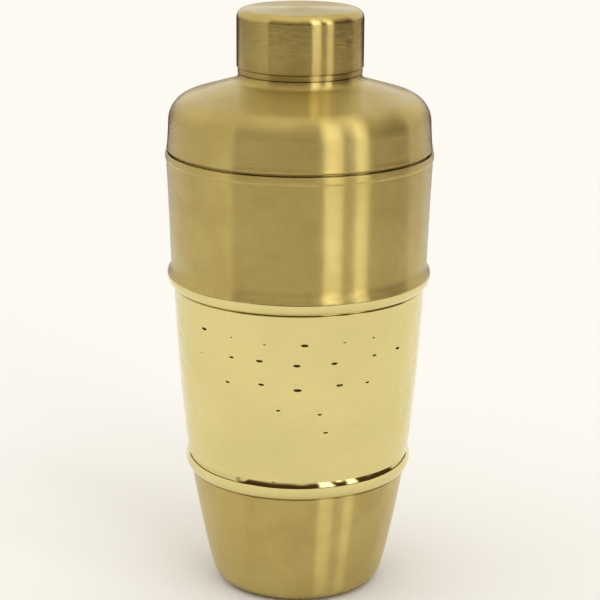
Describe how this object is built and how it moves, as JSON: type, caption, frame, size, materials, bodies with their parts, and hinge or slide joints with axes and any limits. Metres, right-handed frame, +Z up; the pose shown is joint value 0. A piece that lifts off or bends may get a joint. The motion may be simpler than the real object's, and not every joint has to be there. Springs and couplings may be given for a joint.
{
  "type": "cobbler cocktail shaker",
  "caption": "Three-piece metal shaker: a tapered tumbler with a hammered band between two beads, a domed lid that plugs its mouth, a strainer in the neck and a pull-off cap.",
  "frame": {"origin": "centre of the foot ring, on the surface that the shaker stands on", "axes": "+Z up along the shaker's axis, from the base to the cap; +X and +Y are alike, because the shaker is round"},
  "size_m": [0.0988, 0.0988, 0.2197],
  "materials": {
    "tumbler_base_cup": "satin, brushed round the axis",
    "tumbler_hammered_band": "polished, hammered all over in staggered rows",
    "tumbler_upper_wall": "satin, brushed round the axis",
    "lid_shoulder": "satin, brushed round the axis",
    "lid_neck": "satin, brushed round the axis",
    "lid_skirt": "satin",
    "strainer_plate": "satin",
    "cap_shell": "satin, brushed round the axis",
    "cap_sleeve": "satin"
  },
  "bodies": {
    "tumbler": {"tumbler_base_cup": "tumbler_base_cup", "tumbler_hammered_band": "tumbler_hammered_band", "tumbler_upper_wall": "tumbler_upper_wall"},
    "lid": {"lid_shoulder": "lid_shoulder", "lid_neck": "lid_neck", "lid_skirt": "lid_skirt", "strainer_plate": "strainer_plate"},
    "cap": {"cap_shell": "cap_shell", "cap_sleeve": "cap_sleeve"}
  },
  "joints": [
    {"name": "lid_lift", "type": "slide", "parent": "tumbler", "child": "lid", "axis": [0, 0, 1], "range_m": [0, 0.05]},
    {"name": "cap_lift", "type": "slide", "parent": "lid", "child": "cap", "axis": [0, 0, 1], "range_m": [0, 0.04]}
  ]
}
